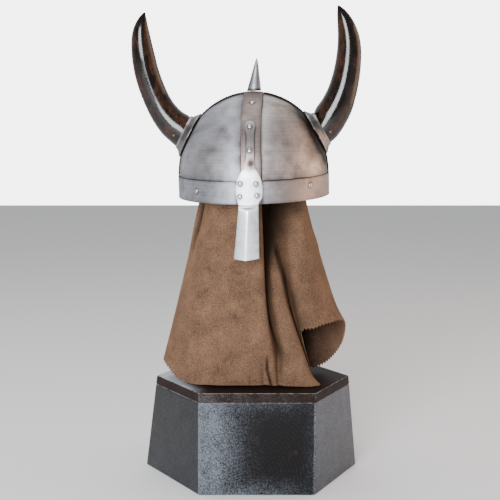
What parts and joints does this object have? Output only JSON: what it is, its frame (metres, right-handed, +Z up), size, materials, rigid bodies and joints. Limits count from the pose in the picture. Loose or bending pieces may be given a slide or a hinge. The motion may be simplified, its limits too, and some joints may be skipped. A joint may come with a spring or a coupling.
{
  "type": "horned norse iron helmet on draped display stand",
  "caption": "Round riveted iron helmet with a brow band, crest strap, nose guard, crown spike and a pair of horns in cups, resting on a suede-draped post on a six-sided plinth.",
  "frame": {"origin": "middle of the plinth's base under the post", "axes": "+Z up, -Y the way the helmet's nose guard faces, +X the wearer's left"},
  "size_m": [0.3329, 0.2729, 0.6738],
  "materials": {
    "shell_steel": "antiqued, brushed and lacquered",
    "band_steel": "antiqued, brushed and lacquered",
    "strap_steel": "darker antiqued steel",
    "nasal_steel": "bright satin steel",
    "spike_steel": "bright satin steel",
    "cup_steel": "antiqued satin steel",
    "rivet_steel": "domed rivet heads rubbed bright",
    "horn": "polished dark natural horn, mottled brown",
    "nail_brass": "dull brass nail head",
    "plinth_paint": "black paint, rubbed through at the edges",
    "stand_wood": "plain sanded wood",
    "suede": "brown suede, napped"
  },
  "bodies": {
    "root": {"plinth_body": "plinth_paint", "plinth_lid": "plinth_paint", "post": "stand_wood", "drape": "suede", "bowl": "shell_steel", "brow_band": "band_steel", "crest_strap": "strap_steel", "side_strap_left": "strap_steel", "side_strap_right": "strap_steel", "nasal": "nasal_steel", "nasal_tab_rivet": "rivet_steel", "nasal_neck_rivet": "rivet_steel", "spade_rivet_upper_left": "rivet_steel", "spade_rivet_upper_right": "rivet_steel", "spade_rivet_lower_left": "rivet_steel", "spade_rivet_lower_right": "rivet_steel", "crest_rivet_front": "rivet_steel", "crest_rivet_rear_upper": "rivet_steel", "crest_rivet_rear_middle": "rivet_steel", "crest_rivet_rear_lower": "rivet_steel", "brow_rivet_left": "rivet_steel", "brow_rivet_right": "rivet_steel", "brow_rivet_rear_left": "rivet_steel", "brow_rivet_rear_right": "rivet_steel", "brow_rivet_rear": "rivet_steel", "crown_spike": "spike_steel", "horn_cup_left": "cup_steel", "horn_left": "horn", "horn_nail_left": "nail_brass", "horn_cup_right": "cup_steel", "horn_right": "horn", "horn_nail_right": "nail_brass", "head_form": "stand_wood"}
  },
  "joints": []
}
